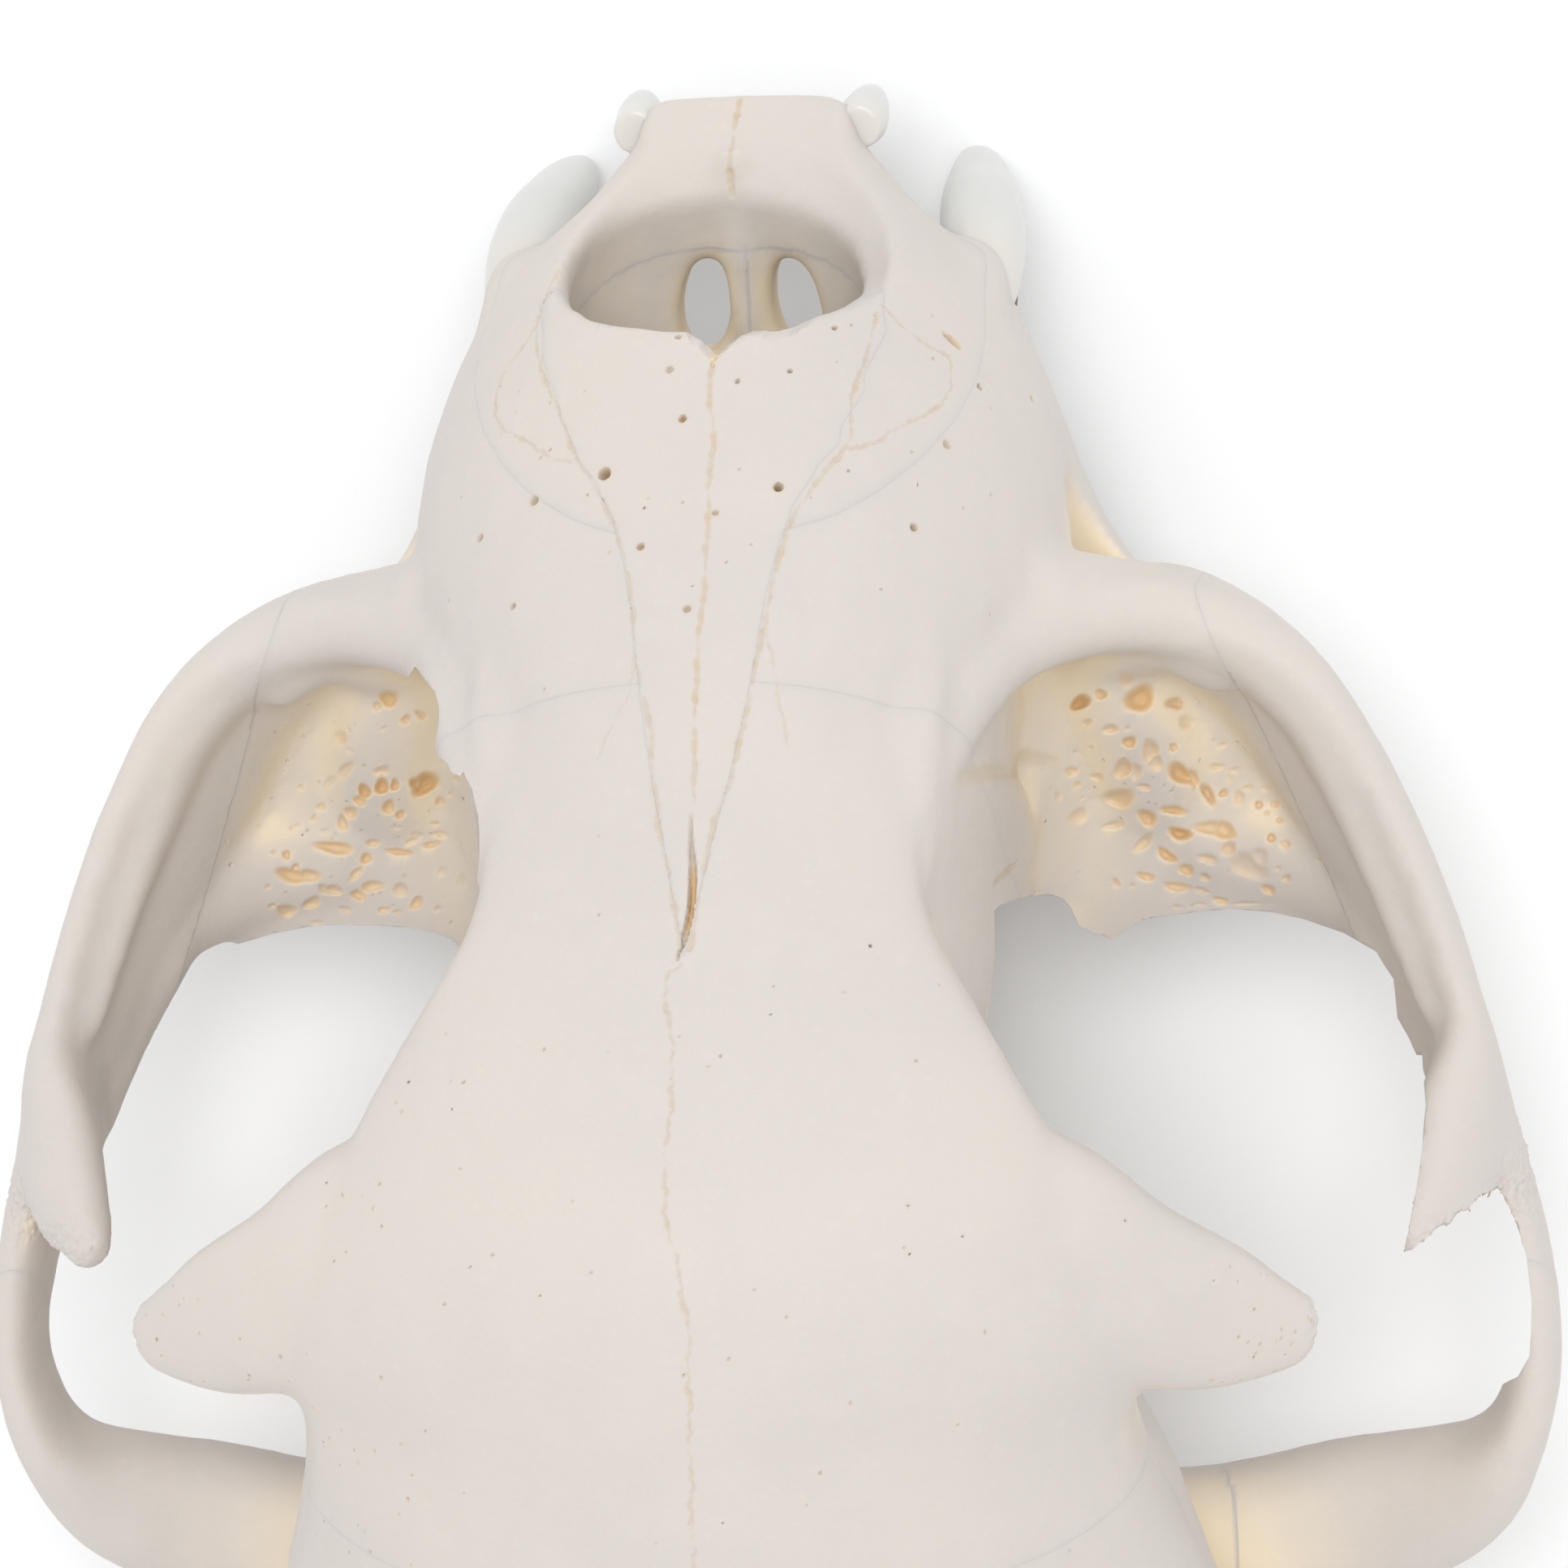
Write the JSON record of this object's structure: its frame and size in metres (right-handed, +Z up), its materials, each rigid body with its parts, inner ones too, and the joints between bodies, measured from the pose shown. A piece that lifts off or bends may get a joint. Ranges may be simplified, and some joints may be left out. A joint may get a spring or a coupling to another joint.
{
  "type": "cat skull",
  "caption": "Cat skull without the lower jaw: braincase, brow, cheek arches, open nose and teeth, at rest on canine tips and ear capsules.",
  "frame": {"origin": "middle of the bounding box's underside, on the surface the skull rests on", "axes": "+Z up, -Y towards the muzzle, +X to the animal's left"},
  "size_m": [0.067, 0.0906, 0.0434],
  "materials": {
    "bone": "dry bleached bone, matt",
    "enamel": "smooth tooth enamel, satin"
  },
  "bodies": {
    "root": {"premaxilla": "bone", "nasal_bones": "bone", "frontal_bone": "bone", "braincase": "bone", "occipital_bone": "bone", "palatine_pterygoid": "bone", "maxilla_left": "bone", "maxilla_right": "bone", "zygomatic_left": "bone", "zygomatic_right": "bone", "squamosal_left": "bone", "squamosal_right": "bone", "bulla_left": "bone", "bulla_right": "bone", "canine_left": "enamel", "canine_right": "enamel"}
  },
  "joints": []
}
